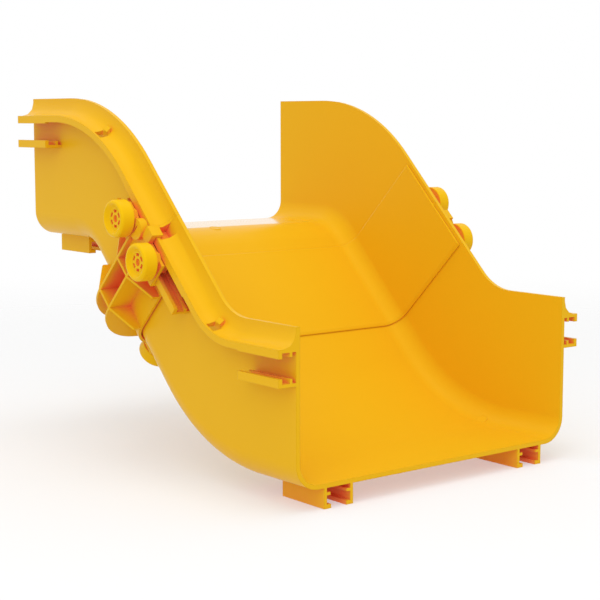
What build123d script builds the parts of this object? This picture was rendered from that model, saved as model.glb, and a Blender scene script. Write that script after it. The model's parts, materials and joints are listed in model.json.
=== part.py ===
from build123d import *
import os
from math import cos, radians, sin

os.makedirs("parts", exist_ok=True)

# The trough runs along Y. Its low end stands at Y = 0 and its underside there at Z = 0.

# Trough section
inner_width = 240.0
wall = 3.0
trough_height = 105.0
corner_radius = 18.0

# Ledge that runs outside each wall, with the lip that the cover clips under
ledge_height = 92.0
ledge_reach = 13.6
ledge_plate = 2.3
ledge_lip_height = 4.8
ledge_lip_wall = 2.6
fill_radius = 10.0
fill_flats = 3

# Run of the two bends
bend_angle = 45.0
inner_bend_radius = 40.0
low_leg = 52.5
lower_slope_leg = 72.5
upper_slope_leg = 52.0
high_leg = 58.5

# Rail pairs at every end: a plate, an outer lip and a middle rib on each side
rail_pair_height = 24.0
rail_lip_height = 5.7
rail_lip_wall = 2.8
middle_rib_height = 2.9
middle_rib_wall = 2.0
middle_rib_offset = 2.9
rail_length = 43.0
long_rail_length = 56.0
floor_rail_inset = 34.6

# Cover clip on the ledge of each bend: a window with a small hook beside it
clip_angle = 19.0
clip_window_length = 8.4
clip_window_width = 6.6
clip_window_place = 8.6
hook_height = 6.0
hook_length = 5.0
hook_wall = 2.0
hook_nose = 1.4
hook_neck_share = 0.5

# Pocket that the coupler's shoulder drops into, in the ledge of the lower bend
pocket_length = 10.0
pocket_edge = 1.0
pocket_depth = 3.6
pocket_wall = 1.2

# Coupler: a liner inside the walls and a ribbed sleeve outside them, joined by a web
fit_gap = 0.3
liner_wall = 2.0
liner_length = 85.0
liner_drop = 3.0
liner_taper_length = 2.4
liner_taper_depth = 1.3
sleeve_wall = 3.0
sleeve_length = 59.0
lead_in_length = 1.6
lead_in_depth = 1.0
web_wall = 2.0
housing_wall = 2.5
rib_reach = 20.0
rib_wall = 2.0
rib_spacing = 17.0
gusset_end_reach = 8.6
gusset_heights = (17.0, 51.5)
floor_gusset_places = (0.0, 36.0)
rib_top_round = 4.0
lug_radius = 7.5
lug_reach = 20.0
lug_offset = 6.5
lug_drop = 8.5
lug_slot_wall = 1.0
lug_slot_length = 7.0
lug_slot_depth = 2.0
arm_length = 9.0
arm_reach = 18.0
arm_plate = 1.8
arm_height = 10.0
nose_wall = 1.6
nose_drop = 2.5

# Locking knobs
knob_spacing = 39.5
knob_radius = 13.0
knob_front = 31.0
knob_clearance = 0.3
knob_edge_chamfer = 1.2
knob_rim_width = 2.6
dish_depth = 2.6
hub_radius = 7.0
collar_radius = 7.6
stem_radius = 4.2
stem_square = 5.6
running_gap = 0.1
hub_hole_radius = 2.5
hub_hole_depth = 6.0
slot_ring_radius = 4.9
slot_width = 1.4
slot_length = 3.4
slot_depth = 1.6
slot_count = 6
dish_lip = 0.4
round_sides = 14
stem_sides = 8

# Locking cams
cam_clearance = 0.5
cam_tip_gap = 0.3
cam_width = 10.4
cam_socket_depth = 2.9

overrun = 5.0

# Worked out from the sizes above
outer_width = inner_width + 2 * wall
half_width = outer_width / 2
outer_bend_radius = inner_bend_radius + trough_height
floor_rail_place = half_width - floor_rail_inset
rail_pair_place = ledge_height - rail_pair_height / 2
rail_half = rail_pair_height / 2
slope_cos = cos(radians(bend_angle))
slope_sin = sin(radians(bend_angle))
slope_start_y = low_leg + outer_bend_radius * slope_sin
slope_start_z = outer_bend_radius * (1 - slope_cos)
joint_y = slope_start_y + lower_slope_leg * slope_cos
joint_z = slope_start_z + lower_slope_leg * slope_sin
high_bend_y = joint_y + upper_slope_leg * slope_cos + inner_bend_radius * slope_sin
high_end_y = high_bend_y + high_leg
high_end_z = joint_z + upper_slope_leg * slope_sin + inner_bend_radius * (1 - slope_cos)
end_setback = web_wall / 2
housing_reach = ledge_reach + fit_gap
housing_half = rail_half + fit_gap
shelf_top = rail_pair_place - rail_half - fit_gap
bridge_top = ledge_height - rail_lip_height - fit_gap
knob_back = rib_reach + 2 * knob_clearance
cam_top = ledge_reach - rail_lip_wall - cam_clearance
cam_foot = middle_rib_offset + middle_rib_wall + cam_clearance
joint_frame = Location((0, joint_y, joint_z), (bend_angle, 0, 0))
run = Vector(0, 1, 0)


def trough_blank(grow, top):
    """Rounded U outline of the trough's outer face, grown outwards by grow, up to top."""
    height = top + grow
    blank = Pos(0, top - height / 2) * Rectangle(outer_width + 2 * grow, height)
    return fillet(blank.vertices().sort_by(Axis.Y)[:2], corner_radius + grow)


def trough_band(outer_grow, inner_grow, top):
    """U-shaped band between two outlines of the trough."""
    return trough_blank(outer_grow, top) - trough_blank(inner_grow, top + overrun)


def near(shape, x, y):
    """Vertices of a flat outline that lie at a place, on either side of the middle."""
    tiny = fit_gap / 2
    return [v for v in shape.vertices() if abs(abs(v.X) - x) < tiny and abs(v.Y - y) < tiny]


def side_box(x_from, x_to, z_from, z_to):
    """The same rectangle beside both walls."""
    box = Pos((x_from + x_to) / 2, (z_from + z_to) / 2) * Rectangle(x_to - x_from, z_to - z_from)
    return box + mirror(box, Plane.YZ)


def ledge_outline():
    """Plate and lip of the ledge, beside both walls."""
    edge = half_width + ledge_reach
    plate = side_box(half_width - wall / 2, edge, ledge_height - ledge_plate, ledge_height)
    lip = side_box(edge - ledge_lip_wall, edge, ledge_height - ledge_lip_height, ledge_height)
    return plate + lip


def ledge_fill():
    """Hollow fill between each ledge and its wall, an arc drawn as a few flats."""
    root = half_width - wall / 2
    foot = ledge_height - ledge_plate / 2
    points = [(root, foot), (half_width + fill_radius, foot)]
    for step in range(fill_flats + 1):
        angle = radians(90 * step / fill_flats)
        points.append((
            half_width + fill_radius * (1 - sin(angle)),
            ledge_height + fill_radius * (1 - cos(angle)),
        ))
    points.append((root, ledge_height + fill_radius))
    fill = Polygon(*points, align=None)
    return fill + mirror(fill, Plane.YZ)


def trough_section():
    """Section of a bend between its rails: floor, walls and ledges."""
    return trough_band(0, -wall, trough_height) + ledge_outline() + ledge_fill()


def rail_outline():
    """Both halves of one rail pair, across the pair in X and away from the wall in Y."""
    root = wall / 2
    plate = Rectangle(ledge_plate, ledge_reach + root)
    plate = Pos(rail_half - ledge_plate / 2, (ledge_reach - root) / 2) * plate
    lip = Rectangle(rail_lip_height, rail_lip_wall)
    lip = Pos(rail_half - rail_lip_height / 2, ledge_reach - rail_lip_wall / 2) * lip
    rib_height = ledge_plate + middle_rib_height
    rib = Rectangle(rib_height, middle_rib_wall)
    rib = Pos(rail_half - rib_height / 2, middle_rib_offset + middle_rib_wall / 2) * rib
    half = plate + lip + rib
    return half + mirror(half, Plane.YZ)


def wall_planes():
    """Planes on the outer faces where rail pairs stand: two walls, then two floor places."""
    left = Plane((-half_width, 0, rail_pair_place), x_dir=(0, 0, 1), z_dir=(0, -1, 0))
    right = Plane((half_width, 0, rail_pair_place), x_dir=(0, 0, 1), z_dir=(0, 1, 0))
    floor_left = Plane((-floor_rail_place, 0, 0), x_dir=(1, 0, 0), z_dir=(0, 1, 0))
    floor_right = Plane((floor_rail_place, 0, 0), x_dir=(1, 0, 0), z_dir=(0, 1, 0))
    return [left, right, floor_left, floor_right]


def rail_set(length):
    """The four rail pairs of one end, from its face inwards along Y."""
    rails = Part()
    for plane in wall_planes():
        rails += extrude(plane * rail_outline(), amount=length, dir=run)
    return rails


def leg(length, rails):
    """Straight leg of a bend from Y = 0, with its rails at the open end."""
    return extrude(Plane.XZ * trough_section(), amount=length, dir=run) + rail_set(rails)


def clip_hook(side):
    """Small upright hook whose nose points away from the wall, with a slanted top."""
    back = -side * hook_wall / 2
    front = side * hook_wall / 2
    neck = hook_height * hook_neck_share
    foot = -ledge_plate / 2
    outline = Polygon(
        (back, foot), (front, foot), (front, neck), (front + side * hook_nose, neck),
        (0, hook_height), (back, hook_height), align=None,
    )
    return extrude(Plane.XZ * outline, amount=hook_length / 2, both=True)


def with_cover_clips(bend, clip_frame):
    """Cuts the clip window in both ledges at a frame on their top, and stands its hook there."""
    for side in (-1, 1):
        window_x = side * (half_width + clip_window_place)
        window_height = ledge_plate + fill_radius + overrun
        window = Box(clip_window_width, clip_window_length, window_height)
        window_z = window_height / 2 - ledge_plate - wall / 2
        bend -= clip_frame * (Pos(window_x, 0, window_z) * window)
        hook_x = window_x - side * (clip_window_width + hook_wall) / 2
        bend += clip_frame * (Pos(hook_x, 0, 0) * clip_hook(side))
    return bend


def bend_body(first_leg, second_leg, first_rails, second_rails, radius, turn):
    """Leg, bend and leg from Y = 0. The axis of the bend lies at the height radius."""
    first = leg(first_leg, first_rails)
    axis = Axis((0, first_leg, radius), (turn, 0, 0))
    section = Pos(0, first_leg, 0) * (Plane.XZ * trough_section())
    curve = revolve(section, axis, revolution_arc=bend_angle)
    end_y = first_leg + abs(radius) * slope_sin
    end_z = radius * (1 - slope_cos)
    end_frame = Location((0, end_y, end_z), (turn * bend_angle, 0, 0))
    second = Pos(0, second_leg, 0) * Rot(0, 0, 180) * leg(second_leg, second_rails)
    return first + curve + end_frame * second


def clip_frame_of(first_leg, radius, turn):
    """Frame on the ledge's top, at the clip's angle from the slope."""
    angle = bend_angle - clip_angle
    reach = radius - ledge_height
    place = (0, first_leg + turn * reach * sin(radians(angle)), radius - reach * cos(radians(angle)))
    return Location(place, (turn * angle, 0, 0))


def lower_bend():
    """Bend that rises from the low run: its rims turn tightly and its floor widely."""
    slope_leg = lower_slope_leg - end_setback
    bend = bend_body(low_leg, slope_leg, rail_length, long_rail_length, outer_bend_radius, 1)
    bend = with_cover_clips(bend, clip_frame_of(low_leg, outer_bend_radius, 1))
    block_width = ledge_reach - rail_lip_wall / 2
    block = Box(block_width, pocket_length + pocket_wall, rail_lip_height)
    pocket_width = ledge_reach - ledge_lip_wall - pocket_edge
    pocket = Box(pocket_width, pocket_length + overrun, pocket_depth + fill_radius + overrun)
    block_y = -end_setback - (pocket_length + pocket_wall) / 2
    pocket_y = overrun / 2 - end_setback - pocket_length / 2
    block_z = ledge_height - rail_lip_height / 2
    pocket_z = ledge_height + (fill_radius + overrun - pocket_depth) / 2
    for side in (-1, 1):
        bend += joint_frame * (Pos(side * (half_width + block_width / 2), block_y, block_z) * block)
        pocket_x = side * (half_width + pocket_edge + pocket_width / 2)
        bend -= joint_frame * (Pos(pocket_x, pocket_y, pocket_z) * pocket)
    return bend


def upper_bend():
    """Bend that levels out into the high run: its floor turns tightly and its rims widely."""
    slope_leg = upper_slope_leg - end_setback
    bend = bend_body(high_leg, slope_leg, rail_length, rail_length, -inner_bend_radius, -1)
    bend = with_cover_clips(bend, clip_frame_of(high_leg, -inner_bend_radius, -1))
    return Pos(0, high_end_y, high_end_z) * Rot(0, 0, 180) * bend


def floor_housing(grow, top):
    """Outline of the room round each floor rail pair, grown by grow."""
    left = floor_rail_place - housing_half - grow
    right = floor_rail_place + housing_half + grow
    return side_box(left, right, -housing_reach - grow, top)


def sleeve_section():
    """Outer sleeve with the housings that it forms round the rail pairs."""
    outer = half_width + housing_reach + housing_wall
    plates = trough_band(fit_gap + sleeve_wall, fit_gap, shelf_top)
    shelf = side_box(half_width + fit_gap, outer, shelf_top - housing_wall, shelf_top)
    bridge = side_box(half_width + housing_reach, outer, shelf_top - housing_wall, bridge_top)
    return plates + shelf + bridge + floor_housing(housing_wall, -fit_gap) - floor_housing(0, 0)


def web_section():
    """Stop web that stands between the ends of the two bends and reaches into the housings."""
    edge = half_width + ledge_reach
    outline = trough_blank(0, trough_height)
    outline += side_box(half_width - wall, edge, shelf_top, ledge_height) + ledge_fill()
    outline += trough_blank(fit_gap + sleeve_wall / 2, shelf_top)
    housing_outer = half_width + housing_reach + housing_wall / 2
    outline += side_box(half_width, housing_outer, shelf_top - housing_wall / 2, bridge_top)
    outline += floor_housing(housing_wall / 2, wall)
    outline -= trough_blank(-wall, trough_height + overrun)
    inset = -wall - fit_gap - liner_wall / 2
    return outline + trough_band(-wall / 2, inset, trough_height - liner_drop)


def rib_section():
    """Tall rib that runs round the sleeve, one each side of the joint."""
    outline = trough_band(rib_reach, fit_gap + sleeve_wall / 2, bridge_top)
    outline = fillet(near(outline, half_width + rib_reach, bridge_top), rib_top_round)
    wall_room = side_box(half_width, half_width + housing_reach, shelf_top, bridge_top + overrun)
    return outline - wall_room - floor_housing(0, 0)


def gusset():
    """Rib along the sleeve that falls from the tall ribs to the sleeve's ends."""
    root = fit_gap + sleeve_wall / 2
    shoulder = (rib_spacing + rib_wall) / 2
    end = sleeve_length / 2
    outline = Polygon(
        (-end, root), (end, root), (end, gusset_end_reach), (shoulder, rib_reach),
        (-shoulder, rib_reach), (-end, gusset_end_reach), align=None,
    )
    return extrude(outline, amount=rib_wall / 2, both=True)


def gusset_frames():
    """Places of the gussets: their X runs along the sleeve and their Y away from the wall."""
    frames = []
    for side in (-1, 1):
        for z in gusset_heights:
            frames.append(Plane((side * half_width, 0, z), x_dir=(0, 1, 0), z_dir=(0, 0, -side)))
        for x in floor_gusset_places:
            if x > 0 or side > 0:
                frames.append(Plane((side * x, 0, 0), x_dir=(0, 1, 0), z_dir=(-1, 0, 0)))
    return frames


def knob_places():
    """Frame of each knob in the coupler's own axes, with its Z away from the trough."""
    places = {}
    for side_name, side in (("left", -1), ("right", 1)):
        for end_name, end in (("lower", -1), ("upper", 1)):
            y = end * knob_spacing / 2
            wall_point = (side * half_width, y, rail_pair_place)
            places[f"{side_name}_wall_{end_name}"] = Plane(wall_point, x_dir=(0, 0, 1), z_dir=(side, 0, 0))
            floor_point = (side * floor_rail_place, y, 0)
            places[f"{side_name}_floor_{end_name}"] = Plane(floor_point, x_dir=(1, 0, 0), z_dir=(0, 0, -1))
    return places


def lug():
    """Round slotted lug between the two knobs of a wall, away from the wall in Z."""
    body = flat_sided(lug_radius, round_sides, housing_reach, lug_reach)
    slot = Pos(0, 0, lug_reach) * Box(lug_slot_length, lug_slot_wall, 2 * lug_slot_depth)
    return body - slot


def flares(narrow, top, depth, length, end):
    """Cutters that widen the inside of a U-shaped band by depth towards its two ends."""
    cutter = trough_blank(narrow + depth, top + overrun)
    cutter = extrude(Plane.XZ * cutter, amount=length + overrun, dir=run)
    start = cutter.faces().sort_by(Axis.Y)[0]
    cutter = Pos(0, end - length, 0) * chamfer(start.edges(), depth, length, reference=start)
    return cutter + mirror(cutter, Plane.XZ)


def latch_arm():
    """Arm beside each lug that goes over the ledge's lip, with its nose down in the pocket."""
    lip_inside = half_width + ledge_reach - ledge_lip_wall
    top = ledge_height + fit_gap + arm_plate
    outline = side_box(half_width + housing_reach, half_width + arm_reach, top - arm_height, top)
    outline += side_box(lip_inside - fit_gap - nose_wall, half_width + arm_reach, top - arm_plate, top)
    outline += side_box(lip_inside - fit_gap - nose_wall, lip_inside - fit_gap, ledge_height - nose_drop, top)
    return extrude(Plane.XZ * outline, amount=-arm_length, dir=run)


def liner():
    """Lining inside the walls of both bends, tapered thin at its two ends."""
    inset = -wall - fit_gap
    inner = inset - liner_wall
    top = trough_height - liner_drop
    shell = extrude(Plane.XZ * trough_band(inset, inner, top), amount=liner_length / 2, both=True)
    return shell - flares(inner, top, liner_taper_depth, liner_taper_length, liner_length / 2)


def coupler_body():
    """One moulding: liner, stop web and ribbed sleeve, bored for the knobs."""
    sleeve = extrude(Plane.XZ * sleeve_section(), amount=sleeve_length / 2, both=True)
    sleeve -= flares(fit_gap, shelf_top, lead_in_depth, lead_in_length, sleeve_length / 2)
    body = sleeve + liner() + latch_arm()
    body += extrude(Plane.XZ * web_section(), amount=web_wall / 2, both=True)
    for end in (-1, 1):
        rib = extrude(Plane.XZ * rib_section(), amount=rib_wall / 2, both=True)
        body += Pos(0, end * rib_spacing / 2, 0) * rib
    for frame in gusset_frames():
        body += frame * gusset()
    for side in (-1, 1):
        place = (side * half_width, -side * lug_offset, ledge_height - lug_drop)
        body += Plane(place, x_dir=(0, 0, 1), z_dir=(side, 0, 0)) * lug()
    collar_top = knob_back - knob_clearance
    for frame in knob_places().values():
        collar = flat_sided(collar_radius, stem_sides, housing_reach, collar_top)
        bore = Pos(0, 0, housing_reach) * Cylinder(stem_radius + running_gap, rib_reach)
        body = body + frame * collar - frame * bore
    return joint_frame * body


def flat_sided(radius, sides, z_from, z_to):
    """Upright prism that stands for a small round block or hole."""
    return Pos(0, 0, z_from) * extrude(RegularPolygon(radius, sides), z_to - z_from)


def knob():
    """Dished round knob with a slotted hub, and a stem with a square end for the cam."""
    floor = knob_front - dish_depth
    body = flat_sided(knob_radius, round_sides, knob_back, knob_front)
    body = chamfer(body.faces().sort_by(Axis.Z)[-1].edges(), knob_edge_chamfer)
    dish = flat_sided(knob_radius - knob_rim_width, round_sides, floor, knob_front)
    slant = knob_radius - knob_rim_width - hub_radius
    body -= chamfer(dish.faces().sort_by(Axis.Z)[0].edges(), dish_depth - dish_lip, slant)
    body += flat_sided(stem_radius, stem_sides, cam_top, knob_back)
    body += Pos(0, 0, cam_top - cam_socket_depth / 2) * Box(stem_square, stem_square, cam_socket_depth)
    body -= flat_sided(hub_hole_radius, stem_sides, floor - hub_hole_depth, knob_front)
    slot = Box(slot_width, slot_length, 2 * slot_depth)
    for turn in range(slot_count):
        body -= Rot(0, 0, turn * 360 / slot_count) * (Pos(slot_ring_radius, 0, floor) * slot)
    return body


def cam():
    """Oblong cam that turns behind the rails' lips, with a square socket for the stem."""
    tip = rail_half - ledge_plate - cam_tip_gap
    outline = RegularPolygon(tip, round_sides) & Rectangle(3 * tip, cam_width)
    body = Pos(0, 0, cam_foot) * extrude(outline, amount=cam_top - cam_foot)
    return body - Pos(0, 0, cam_top - cam_socket_depth / 2) * Box(stem_square, stem_square, cam_socket_depth)


def save(name, shape):
    export_step(shape, f"parts/{name}.step")


save("lower_bend", lower_bend())
save("upper_bend", upper_bend())
save("coupler_body", coupler_body())
for place_name, place in knob_places().items():
    for piece_name, piece in (("knob", knob()), ("cam", cam())):
        save(f"{place_name}_{piece_name}", joint_frame * (place * piece))
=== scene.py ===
import bmesh
import bpy
import json
import math
from mathutils import Matrix, Vector


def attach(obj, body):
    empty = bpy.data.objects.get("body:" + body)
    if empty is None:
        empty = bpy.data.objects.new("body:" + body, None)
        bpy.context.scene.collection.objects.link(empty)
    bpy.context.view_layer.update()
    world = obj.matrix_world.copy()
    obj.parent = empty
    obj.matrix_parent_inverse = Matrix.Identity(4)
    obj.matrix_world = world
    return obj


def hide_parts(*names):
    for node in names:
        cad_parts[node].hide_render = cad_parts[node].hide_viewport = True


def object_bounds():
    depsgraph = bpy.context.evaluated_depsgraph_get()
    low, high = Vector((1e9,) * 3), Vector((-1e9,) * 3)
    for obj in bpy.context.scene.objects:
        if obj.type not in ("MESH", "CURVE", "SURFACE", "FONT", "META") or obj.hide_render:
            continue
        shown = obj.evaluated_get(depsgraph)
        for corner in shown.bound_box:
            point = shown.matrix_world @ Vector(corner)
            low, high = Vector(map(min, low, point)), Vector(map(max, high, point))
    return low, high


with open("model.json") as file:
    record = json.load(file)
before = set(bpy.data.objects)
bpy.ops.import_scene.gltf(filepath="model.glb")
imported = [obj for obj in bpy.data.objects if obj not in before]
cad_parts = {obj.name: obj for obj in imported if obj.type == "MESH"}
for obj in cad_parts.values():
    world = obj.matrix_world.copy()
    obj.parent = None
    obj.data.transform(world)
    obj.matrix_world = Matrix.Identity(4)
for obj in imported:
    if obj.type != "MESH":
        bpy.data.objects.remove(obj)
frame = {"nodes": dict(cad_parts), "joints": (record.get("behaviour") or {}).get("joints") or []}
cad_low, cad_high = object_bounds()
nodes = frame["nodes"]

# The two bends: open troughs of glossy yellow-orange plastic, each injection moulded in one
# piece with its ledges, rail pairs and clip windows. The mould was finely blasted, so the gloss
# is soft, and the colour drifts a little with the flow of the plastic.
yellow = (0.862, 0.487, 0.011)
deep_yellow = (0.837, 0.459, 0.011)
drift_scale = 9.0
drift_detail = 3.0
drift_distortion = 0.6
grain_detail = 2.0
grain_strength = 0.25
# Painted shade: ambient occlusion turns the colour deep orange in slots, behind ribs and along
# creases. This stands in for light bounced between the yellow walls and soaked through the thin
# plastic.
painted_shade_orange = (0.980, 0.230, 0.085)
painted_shade_reach = 0.024
painted_shade_samples = 8
open_enough = 0.54
fully_hollow = 0.16
plastic_ior = 1.47
gloss_level = 0.14
gloss_tint = (1.000, 0.740, 0.080)
gloss_below = 0.04
gloss_above = 0.06
sheen_blend = 0.5
sheen_start = 0.905
sheen_full = 0.928
sheen_roughness = 0.12
sheen_ior = 1.7
edge_samples = 4
crease_angle = math.radians(40)
place_digits = 6
trough_roughness = 0.34
trough_grain_scale = 900.0
trough_grain_depth = 0.00002
trough_edge_round = 0.0006


def moulded_skin():
    """Node group: slow colour drift of the flowing plastic, and the fine grain of the mould."""
    group = bpy.data.node_groups.new("moulded_skin", "ShaderNodeTree")
    group.interface.new_socket("Drift Scale", in_out="INPUT", socket_type="NodeSocketFloat")
    group.interface.new_socket("Grain Scale", in_out="INPUT", socket_type="NodeSocketFloat")
    group.interface.new_socket("Drift", in_out="OUTPUT", socket_type="NodeSocketFloat")
    group.interface.new_socket("Grain", in_out="OUTPUT", socket_type="NodeSocketFloat")
    tree, link = group.nodes, group.links.new
    inputs, outputs = tree.new("NodeGroupInput"), tree.new("NodeGroupOutput")
    place = tree.new("ShaderNodeTexCoord")
    drift = tree.new("ShaderNodeTexNoise")
    drift.inputs["Detail"].default_value = drift_detail
    drift.inputs["Distortion"].default_value = drift_distortion
    grain = tree.new("ShaderNodeTexNoise")
    grain.inputs["Detail"].default_value = grain_detail
    link(place.outputs["Object"], drift.inputs["Vector"])
    link(place.outputs["Object"], grain.inputs["Vector"])
    link(inputs.outputs["Drift Scale"], drift.inputs["Scale"])
    link(inputs.outputs["Grain Scale"], grain.inputs["Scale"])
    link(drift.outputs["Fac"], outputs.inputs["Drift"])
    link(grain.outputs["Fac"], outputs.inputs["Grain"])
    return group


def painted_hollow_shade():
    """Node group: painted shade. It turns a colour deep orange in slots and behind ribs, where
    ambient occlusion finds a hollow, in place of light bounced and soaked through the plastic.
    """
    group = bpy.data.node_groups.new("painted_hollow_shade", "ShaderNodeTree")
    group.interface.new_socket("Colour", in_out="INPUT", socket_type="NodeSocketColor")
    group.interface.new_socket("Warm Colour", in_out="INPUT", socket_type="NodeSocketColor")
    group.interface.new_socket("Reach", in_out="INPUT", socket_type="NodeSocketFloat")
    group.interface.new_socket("Warmed", in_out="OUTPUT", socket_type="NodeSocketColor")
    tree, link = group.nodes, group.links.new
    inputs, outputs = tree.new("NodeGroupInput"), tree.new("NodeGroupOutput")
    hollow = tree.new("ShaderNodeAmbientOcclusion")
    hollow.samples = painted_shade_samples
    depth = tree.new("ShaderNodeMapRange")
    depth.interpolation_type = "SMOOTHSTEP"
    depth.inputs["From Min"].default_value = open_enough
    depth.inputs["From Max"].default_value = fully_hollow
    warm = tree.new("ShaderNodeMix")
    warm.data_type = "RGBA"
    link(inputs.outputs["Reach"], hollow.inputs["Distance"])
    link(hollow.outputs["AO"], depth.inputs["Value"])
    link(depth.outputs["Result"], warm.inputs["Factor"])
    link(inputs.outputs["Colour"], warm.inputs["A"])
    link(inputs.outputs["Warm Colour"], warm.inputs["B"])
    link(warm.outputs["Result"], outputs.inputs["Warmed"])
    return group


skin_group = moulded_skin()
painted_shade_group = painted_hollow_shade()


def plastic(name, colour, deep_colour, roughness, grain_scale, grain_depth, edge_round):
    """Moulded plastic with soft edges, fine grain, painted orange shade in its hollows, and a sheen
    where it is seen edge on.
    """
    material = bpy.data.materials.new(name)
    material.use_nodes = True
    tree, link = material.node_tree.nodes, material.node_tree.links.new
    shader = tree["Principled BSDF"]
    shader.inputs["IOR"].default_value = plastic_ior
    shader.inputs["Specular IOR Level"].default_value = gloss_level
    shader.inputs["Specular Tint"].default_value = (*gloss_tint, 1.0)
    shader.inputs["Coat Roughness"].default_value = sheen_roughness
    shader.inputs["Coat IOR"].default_value = sheen_ior
    skin = tree.new("ShaderNodeGroup")
    skin.node_tree = skin_group
    skin.inputs["Drift Scale"].default_value = drift_scale
    skin.inputs["Grain Scale"].default_value = grain_scale
    colours = tree.new("ShaderNodeMix")
    colours.data_type = "RGBA"
    colours.inputs["A"].default_value = (*colour, 1.0)
    colours.inputs["B"].default_value = (*deep_colour, 1.0)
    # Painted shade: the base colour is turned orange in the hollows that ambient occlusion finds.
    painted_shade_node = tree.new("ShaderNodeGroup")
    painted_shade_node.node_tree = painted_shade_group
    painted_shade_node.inputs["Warm Colour"].default_value = (*painted_shade_orange, 1.0)
    painted_shade_node.inputs["Reach"].default_value = painted_shade_reach
    link(skin.outputs["Drift"], colours.inputs["Factor"])
    link(colours.outputs["Result"], painted_shade_node.inputs["Colour"])
    link(painted_shade_node.outputs["Warmed"], shader.inputs["Base Color"])
    gloss = tree.new("ShaderNodeMapRange")
    gloss.inputs["To Min"].default_value = roughness - gloss_below
    gloss.inputs["To Max"].default_value = roughness + gloss_above
    link(skin.outputs["Grain"], gloss.inputs["Value"])
    link(gloss.outputs["Result"], shader.inputs["Roughness"])
    tilt = tree.new("ShaderNodeLayerWeight")
    tilt.inputs["Blend"].default_value = sheen_blend
    sheen = tree.new("ShaderNodeMapRange")
    sheen.interpolation_type = "SMOOTHSTEP"
    sheen.inputs["From Min"].default_value = sheen_start
    sheen.inputs["From Max"].default_value = sheen_full
    link(tilt.outputs["Facing"], sheen.inputs["Value"])
    link(sheen.outputs["Result"], shader.inputs["Coat Weight"])
    edge = tree.new("ShaderNodeBevel")
    edge.samples = edge_samples
    edge.inputs["Radius"].default_value = edge_round
    bump = tree.new("ShaderNodeBump")
    bump.inputs["Strength"].default_value = grain_strength
    bump.inputs["Distance"].default_value = grain_depth
    link(skin.outputs["Grain"], bump.inputs["Height"])
    link(edge.outputs["Normal"], bump.inputs["Normal"])
    link(bump.outputs["Normal"], shader.inputs["Normal"])
    return material


def dress(node, material):
    """Gives a CAD piece its finish and shades its curved faces as smooth ones."""
    piece = nodes[node]
    piece.data.materials.clear()
    piece.data.materials.append(material)
    smooth_curves(piece.data)


def smooth_curves(mesh):
    """Blends the shading across facets that meet at less than the crease angle."""
    places = [tuple(round(c, place_digits) for c in vertex.co) for vertex in mesh.vertices]
    shared = {}
    for face in mesh.polygons:
        for vertex in face.vertices:
            shared.setdefault(places[vertex], []).append(face)
    limit = math.cos(crease_angle)
    normals = []
    for face in mesh.polygons:
        for vertex in face.vertices:
            blended = Vector((0.0, 0.0, 0.0))
            for other in shared[places[vertex]]:
                if other.normal.dot(face.normal) > limit:
                    blended += other.normal * other.area
            normals.append(blended.normalized())
    mesh.polygons.foreach_set("use_smooth", [True] * len(mesh.polygons))
    mesh.normals_split_custom_set(normals)


trough_plastic = plastic(
    "trough_plastic", yellow, deep_yellow, trough_roughness,
    trough_grain_scale, trough_grain_depth, trough_edge_round,
)
for bend in ("lower_bend", "upper_bend"):
    dress(bend, trough_plastic)

# The coupler: liner, stop web and ribbed sleeve in one moulding of the same plastic. It comes
# from another mould with sharper ribs, and its gloss is a little lower than that of the bends.
coupler_roughness = 0.36
coupler_grain_scale = 1100.0
coupler_grain_depth = 0.00002
coupler_edge_round = 0.0005
coupler_plastic = plastic(
    "coupler_plastic", yellow, deep_yellow, coupler_roughness,
    coupler_grain_scale, coupler_grain_depth, coupler_edge_round,
)
dress("coupler_body", coupler_plastic)

# The locking knobs: small dished mouldings with a rounded rim. The recessed hub has a hole in its
# middle and six arc slots round it, where the mould thins the plastic. A stem goes through the
# coupler and ends in a square that the cam is pressed on.
knob_yellow = (0.900, 0.540, 0.006)
deep_knob_yellow = (0.870, 0.500, 0.006)
knob_roughness = 0.38
knob_grain_scale = 1400.0
knob_grain_depth = 0.00003
knob_edge_round = 0.0003
ring_steps = 96
arc_steps = 5
stem_radius = 0.0042
stem_foot = 0.0103
stem_square = 0.0056
stem_square_foot = 0.0074
knob_radius = 0.0130
knob_back = 0.0206
knob_top = 0.0310
back_round = 0.0008
rim_round = 0.0021
lip_round = 0.0011
dish_slope_degrees = 45
groove_radius = 0.0074
groove_floor = 0.02845
groove_round = 0.00095
groove_rise_degrees = 25
hub_face = 0.0284
hub_rim_radius = 0.0068
hub_rim_width = 0.0004
hub_rim_height = 0.0002
hub_slots = 6
slot_share = 0.62
slot_turn_steps = 7
slot_outer = 0.0062
slot_inner = 0.0043
slot_drop = 0.0016
hole_radius = 0.0025
hole_bevel = 0.0001
hole_depth = 0.0020


def arc(middle, size, start, end):
    """Round stretch of an outline about a middle, between two angles in degrees."""
    points = []
    for step in range(arc_steps + 1):
        turn = math.radians(start + (end - start) * step / arc_steps)
        points.append((middle[0] + size * math.cos(turn), middle[1] + size * math.sin(turn)))
    return points


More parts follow.
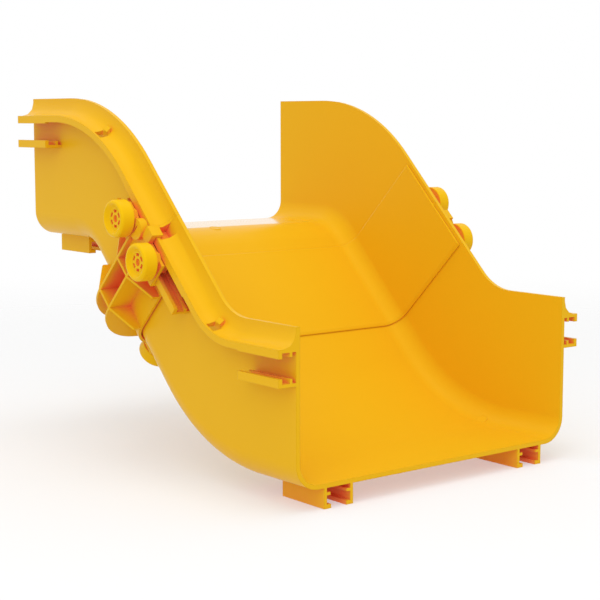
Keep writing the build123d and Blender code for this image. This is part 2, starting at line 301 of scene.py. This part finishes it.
def knob_outline():
    """Half section of the knob in radius and height, from the foot of the stem to the hub's hole."""
    stem = [(0.0, stem_foot), (stem_radius, stem_foot), (stem_radius, knob_back)]
    back = arc((knob_radius - back_round, knob_back + back_round), back_round, -90, 0)
    rim_middle = knob_radius - rim_round
    rim = arc((rim_middle, knob_top - rim_round), rim_round, 0, 90)
    lip = arc((rim_middle, knob_top - lip_round), lip_round, 90, 90 + dish_slope_degrees)
    groove_middle = (groove_radius, groove_floor + groove_round)
    groove = arc(groove_middle, groove_round, dish_slope_degrees - 90, -90 - groove_rise_degrees)
    hub_top = hub_face + hub_rim_height
    hub_rim = [(hub_rim_radius, hub_top), (hub_rim_radius - hub_rim_width, hub_top)]
    slots = [(slot_outer, hub_face), (slot_inner, hub_face)]
    hole = [(hole_radius + hole_bevel, hub_face), (hole_radius, hub_face - hole_bevel)]
    hole_floor = [(hole_radius, hub_face - hole_depth), (0.0, hub_face - hole_depth)]
    return stem + back + rim + lip[1:] + groove + hub_rim + slots + hole + hole_floor


def ring_of(mesh, radius, height):
    """One ring of vertices round the Z axis, or a single vertex that stands for it on the axis."""
    if radius == 0.0:
        return [mesh.verts.new((0.0, 0.0, height))] * ring_steps
    turns = [2 * math.pi * step / ring_steps for step in range(ring_steps)]
    return [mesh.verts.new((radius * math.cos(t), radius * math.sin(t), height)) for t in turns]


def join_rings(mesh, first, second, steps):
    """Faces between two rings at the given steps."""
    for step in steps:
        after = (step + 1) % ring_steps
        corners = [first[step], first[after], second[after], second[step]]
        mesh.faces.new(list(dict.fromkeys(corners)))


def turned_rings(mesh, outline):
    """Rings of an outline of radius and height, in order along it."""
    return [ring_of(mesh, radius, height) for radius, height in outline]


def knob_mesh():
    """The whole knob, with its axis along Z and the trough's outer face at Z = 0."""
    mesh = bmesh.new()
    outline = knob_outline()
    rings = turned_rings(mesh, outline)
    slot_at = outline.index((slot_outer, hub_face))
    slot_steps = []
    for step in range(ring_steps):
        if ((step - slot_turn_steps) * hub_slots / ring_steps) % 1.0 < slot_share:
            slot_steps.append(step)
    web_steps = [step for step in range(ring_steps) if step not in slot_steps]
    for place in range(len(rings) - 1):
        steps = web_steps if place == slot_at else range(ring_steps)
        join_rings(mesh, rings[place], rings[place + 1], steps)
    cut_slots(mesh, rings[slot_at], rings[slot_at + 1], slot_steps)
    add_stem_square(mesh)
    bmesh.ops.recalc_face_normals(mesh, faces=mesh.faces[:])
    data = bpy.data.meshes.new("knob")
    mesh.to_mesh(data)
    mesh.free()
    return data


def cut_slots(mesh, outer, inner, slot_steps):
    """Floors and walls of the arc slots between two rings of the hub."""
    drop = Vector((0.0, 0.0, slot_drop))
    low = {}
    for step in slot_steps:
        for at in (step, (step + 1) % ring_steps):
            if at not in low:
                low[at] = [mesh.verts.new(corner.co - drop) for corner in (outer[at], inner[at])]
    for step in slot_steps:
        after = (step + 1) % ring_steps
        mesh.faces.new([low[step][0], low[after][0], low[after][1], low[step][1]])
        mesh.faces.new([outer[step], outer[after], low[after][0], low[step][0]])
        mesh.faces.new([low[step][1], low[after][1], inner[after], inner[step]])
        for edge, gone in ((step, (step - 1) % ring_steps), (after, after)):
            if gone not in slot_steps:
                mesh.faces.new([outer[edge], low[edge][0], low[edge][1], inner[edge]])


def add_stem_square(mesh):
    """Square end of the stem, inside the cam."""
    middle = (stem_square_foot + stem_foot) / 2
    height = stem_foot - stem_square_foot
    for corner in bmesh.ops.create_cube(mesh, size=1.0)["verts"]:
        x, y, z = corner.co
        corner.co = (x * stem_square, y * stem_square, middle + z * height)


def knob_frame(joint):
    """Matrix that lays the knob's axis along its hinge, at the hinge's place on the trough."""
    across_trough = Vector((1.0, 0.0, 0.0))
    off_slope = Vector((0.0, -1.0, 1.0)).normalized()
    outward = Vector(joint["axis"]).normalized()
    first = off_slope if "_wall_" in joint["child"] else across_trough
    second = outward.cross(first)
    turn = Matrix((first, second, outward)).transposed().to_4x4()
    return Matrix.Translation(joint["pos_m"]) @ turn


knob_plastic = plastic(
    "knob_plastic", knob_yellow, deep_knob_yellow, knob_roughness,
    knob_grain_scale, knob_grain_depth, knob_edge_round,
)
knob_data = knob_mesh()
knob_data.materials.append(knob_plastic)
smooth_curves(knob_data)
for joint in frame["joints"]:
    place = joint["child"].removesuffix("_lock")
    round_knob = bpy.data.objects.new(place + "_round_knob", knob_data)
    round_knob.matrix_world = knob_frame(joint)
    bpy.context.scene.collection.objects.link(round_knob)
    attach(round_knob, joint["child"])
    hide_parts(place + "_knob")

# The locking cams: oblong keys of the same plastic, pressed on the stems inside the rail pairs.
# Their ends turn behind the lips of the rails, which rubs them a little duller.
cam_roughness = 0.42
cam_grain_scale = 1400.0
cam_grain_depth = 0.00003
cam_edge_round = 0.0003
cam_plastic = plastic(
    "cam_plastic", yellow, deep_yellow, cam_roughness,
    cam_grain_scale, cam_grain_depth, cam_edge_round,
)
for joint in frame["joints"]:
    dress(joint["child"].removesuffix("_lock") + "_cam", cam_plastic)

# The pin marks: where the pins of the mould push a bend out, each leaves a shallow round pad with
# a fine rim. One shows on the crest of the upper bend and one in the corner of the lower bend.
pad_floor = 0.00008
pad_rim_radius = 0.0046
pad_rim_round = 0.0003
pad_rim_start_degrees = 165
pad_radius = 0.0051
pad_sink = 0.0006
pad_places = {
    "upper_bend_pin_mark": ((0.0030, 0.2646, 0.1447), (0.0, -0.156, 0.988)),
    "lower_bend_pin_mark": ((0.1112, 0.0700, 0.0057), (-0.47, -0.11, 0.87)),
}


def pad_mesh():
    """Round pad with its rim, with the moulded surface at Z = 0."""
    mesh = bmesh.new()
    rim = arc((pad_rim_radius, 0.0), pad_rim_round, pad_rim_start_degrees, 0)
    rings = turned_rings(mesh, [(0.0, pad_floor)] + rim + [(pad_radius, -pad_sink)])
    for place in range(len(rings) - 1):
        join_rings(mesh, rings[place], rings[place + 1], range(ring_steps))
    bmesh.ops.recalc_face_normals(mesh, faces=mesh.faces[:])
    data = bpy.data.meshes.new("pin_mark")
    mesh.to_mesh(data)
    mesh.free()
    return data


pad_data = pad_mesh()
pad_data.materials.append(trough_plastic)
smooth_curves(pad_data)
for pad_name, (pad_place, pad_normal) in pad_places.items():
    pad = bpy.data.objects.new(pad_name, pad_data)
    pad.location = pad_place
    pad.rotation_euler = Vector(pad_normal).to_track_quat("Z", "Y").to_euler()
    bpy.context.scene.collection.objects.link(pad)
    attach(pad, "raceway")

# The stage: a white floor under the lowest rails, a white surround, and soft light from above
# and from the front left, as in a plain product photograph.
floor_reach = 1.6
floor_sides = 96
floor_roughness = 0.9
floor_gloss = 0.1
floor_cover = 0.6
floor_fade_start = 0.35
floor_fade_end = 1.3
floor_white = (0.93, 0.93, 0.93)
surround_white = (1.0, 1.0, 1.0)
surround_strength = 1.0
world_strength = 0.75
key_size = 1.6
key_power = 11.0
key_place = (-1.5, -1.2, 1.5)
top_size = 1.1
top_power = 8.8
top_place = (-0.2, -0.1, 1.8)


def studio_floor():
    """Plain floor that keeps the shadow of the object and fades into the white surround."""
    bpy.ops.mesh.primitive_circle_add(
        vertices=floor_sides, radius=floor_reach, fill_type="NGON",
        location=(0.0, cad_high.y / 2, cad_low.z),
    )
    floor = bpy.context.object
    floor.name = "studio_floor"
    material = bpy.data.materials.new("floor_white")
    material.use_nodes = True
    tree, link = material.node_tree.nodes, material.node_tree.links.new
    shader = tree["Principled BSDF"]
    shader.inputs["Base Color"].default_value = (*floor_white, 1.0)
    shader.inputs["Roughness"].default_value = floor_roughness
    shader.inputs["Specular IOR Level"].default_value = floor_gloss
    place = tree.new("ShaderNodeTexCoord")
    reach = tree.new("ShaderNodeVectorMath")
    reach.operation = "LENGTH"
    fade = tree.new("ShaderNodeMapRange")
    fade.interpolation_type = "SMOOTHSTEP"
    fade.inputs["From Min"].default_value = floor_fade_start
    fade.inputs["From Max"].default_value = floor_fade_end
    fade.inputs["To Min"].default_value = floor_cover
    fade.inputs["To Max"].default_value = 0.0
    link(place.outputs["Object"], reach.inputs[0])
    link(reach.outputs["Value"], fade.inputs["Value"])
    link(fade.outputs["Result"], shader.inputs["Alpha"])
    floor.data.materials.append(material)


def studio_world():
    """White surround for the camera, gloss and glass, and a softer level for the light."""
    world = bpy.data.worlds.new("studio_world")
    world.use_nodes = True
    bpy.context.scene.world = world
    tree, link = world.node_tree.nodes, world.node_tree.links.new
    background = tree["Background"]
    background.inputs["Color"].default_value = (*surround_white, 1.0)
    path = tree.new("ShaderNodeLightPath")
    seen = tree.new("ShaderNodeMath")
    seen.operation = "MAXIMUM"
    clear = tree.new("ShaderNodeMath")
    clear.operation = "MAXIMUM"
    level = tree.new("ShaderNodeMapRange")
    level.inputs["To Min"].default_value = world_strength
    level.inputs["To Max"].default_value = surround_strength
    link(path.outputs["Is Camera Ray"], seen.inputs[0])
    link(path.outputs["Is Glossy Ray"], seen.inputs[1])
    link(seen.outputs["Value"], clear.inputs[0])
    link(path.outputs["Is Transmission Ray"], clear.inputs[1])
    link(clear.outputs["Value"], level.inputs["Value"])
    link(level.outputs["Result"], background.inputs["Strength"])


def soft_lamp(name, place, size, power):
    """Square area lamp aimed at the middle of the object."""
    data = bpy.data.lights.new(name, "AREA")
    data.size = size
    data.energy = power
    lamp = bpy.data.objects.new(name, data)
    lamp.location = place
    middle = (cad_low + cad_high) / 2
    lamp.rotation_euler = (middle - lamp.location).to_track_quat("-Z", "Y").to_euler()
    bpy.context.scene.collection.objects.link(lamp)


studio_floor()
studio_world()
soft_lamp("key_lamp", key_place, key_size, key_power)
soft_lamp("top_lamp", top_place, top_size, top_power)

# The camera stands low at the front left, a little above the trough, with a long lens.
camera_place = (-0.6735, -0.6971, 0.2324)
camera_down = math.radians(7.09)
camera_turn = math.radians(38.45)
camera_lens = 87.66
camera_sensor = 36.0
camera_nearest = 0.01
camera_data = bpy.data.cameras.new("camera")
camera_data.lens = camera_lens
camera_data.sensor_width = camera_sensor
camera_data.clip_start = camera_nearest
camera = bpy.data.objects.new("camera", camera_data)
camera.location = camera_place
camera.rotation_euler = (math.pi / 2 - camera_down, 0.0, -camera_turn)
bpy.context.scene.collection.objects.link(camera)
bpy.context.scene.camera = camera
bpy.context.scene.view_settings.view_transform = "Standard"
